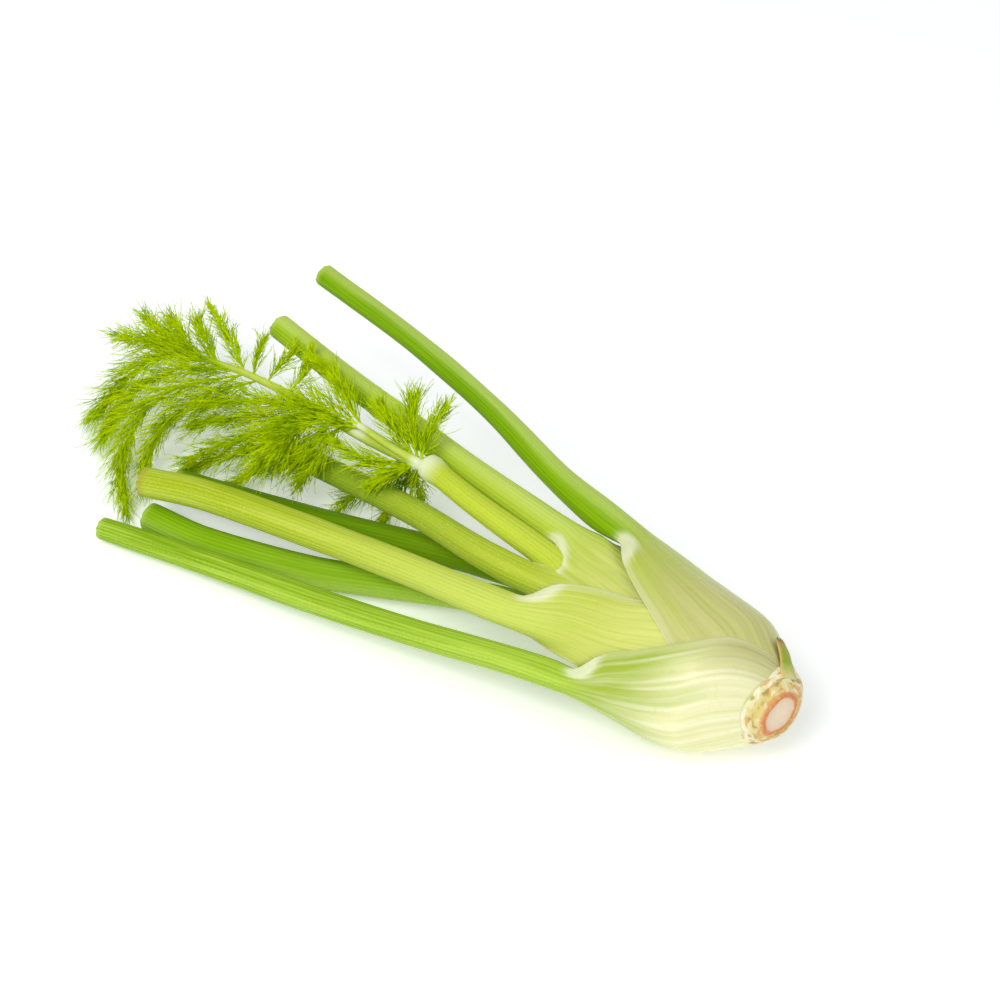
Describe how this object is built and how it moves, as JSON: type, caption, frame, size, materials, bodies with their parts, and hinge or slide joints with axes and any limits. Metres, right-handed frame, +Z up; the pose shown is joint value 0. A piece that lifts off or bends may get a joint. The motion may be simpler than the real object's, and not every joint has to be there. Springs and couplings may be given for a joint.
{
  "type": "fennel bulb",
  "caption": "Fennel bulb lying on its side: overlapping leaf bases wrapped into a pale bulb, cut ribbed stalks fanning out behind and one feathery frond.",
  "frame": {"origin": "middle of the flat spot under the bulb that it rests on", "axes": "+X along the plant's length towards its cut root end, +Z up, +Y to the left of a viewer who looks from the cut stalks towards the root end"},
  "size_m": [0.39, 0.156, 0.074],
  "materials": {
    "root_end": "dry, woody and matt, with a pinkish pith",
    "torn_leaf": "satin green, with a brown torn edge",
    "outer_leaf": "satin, cream-green below and green along the stalk, with fine lengthwise ribs",
    "inner_leaf": "satin, yellow-green, with fine lengthwise ribs",
    "heart_leaf": "satin, yellow-green, with fine lengthwise ribs",
    "frond": "soft bright green threads"
  },
  "bodies": {
    "root": {"root_plate": "root_end", "basal_stub": "torn_leaf", "leaf_1_low_left": "outer_leaf", "leaf_2_high_right": "outer_leaf", "leaf_3_left": "outer_leaf", "leaf_4_under_left": "inner_leaf", "leaf_5_under_right": "inner_leaf", "leaf_6_right": "inner_leaf", "leaf_7_left": "inner_leaf", "leaf_8_heart": "heart_leaf", "frond": "frond"}
  },
  "joints": []
}
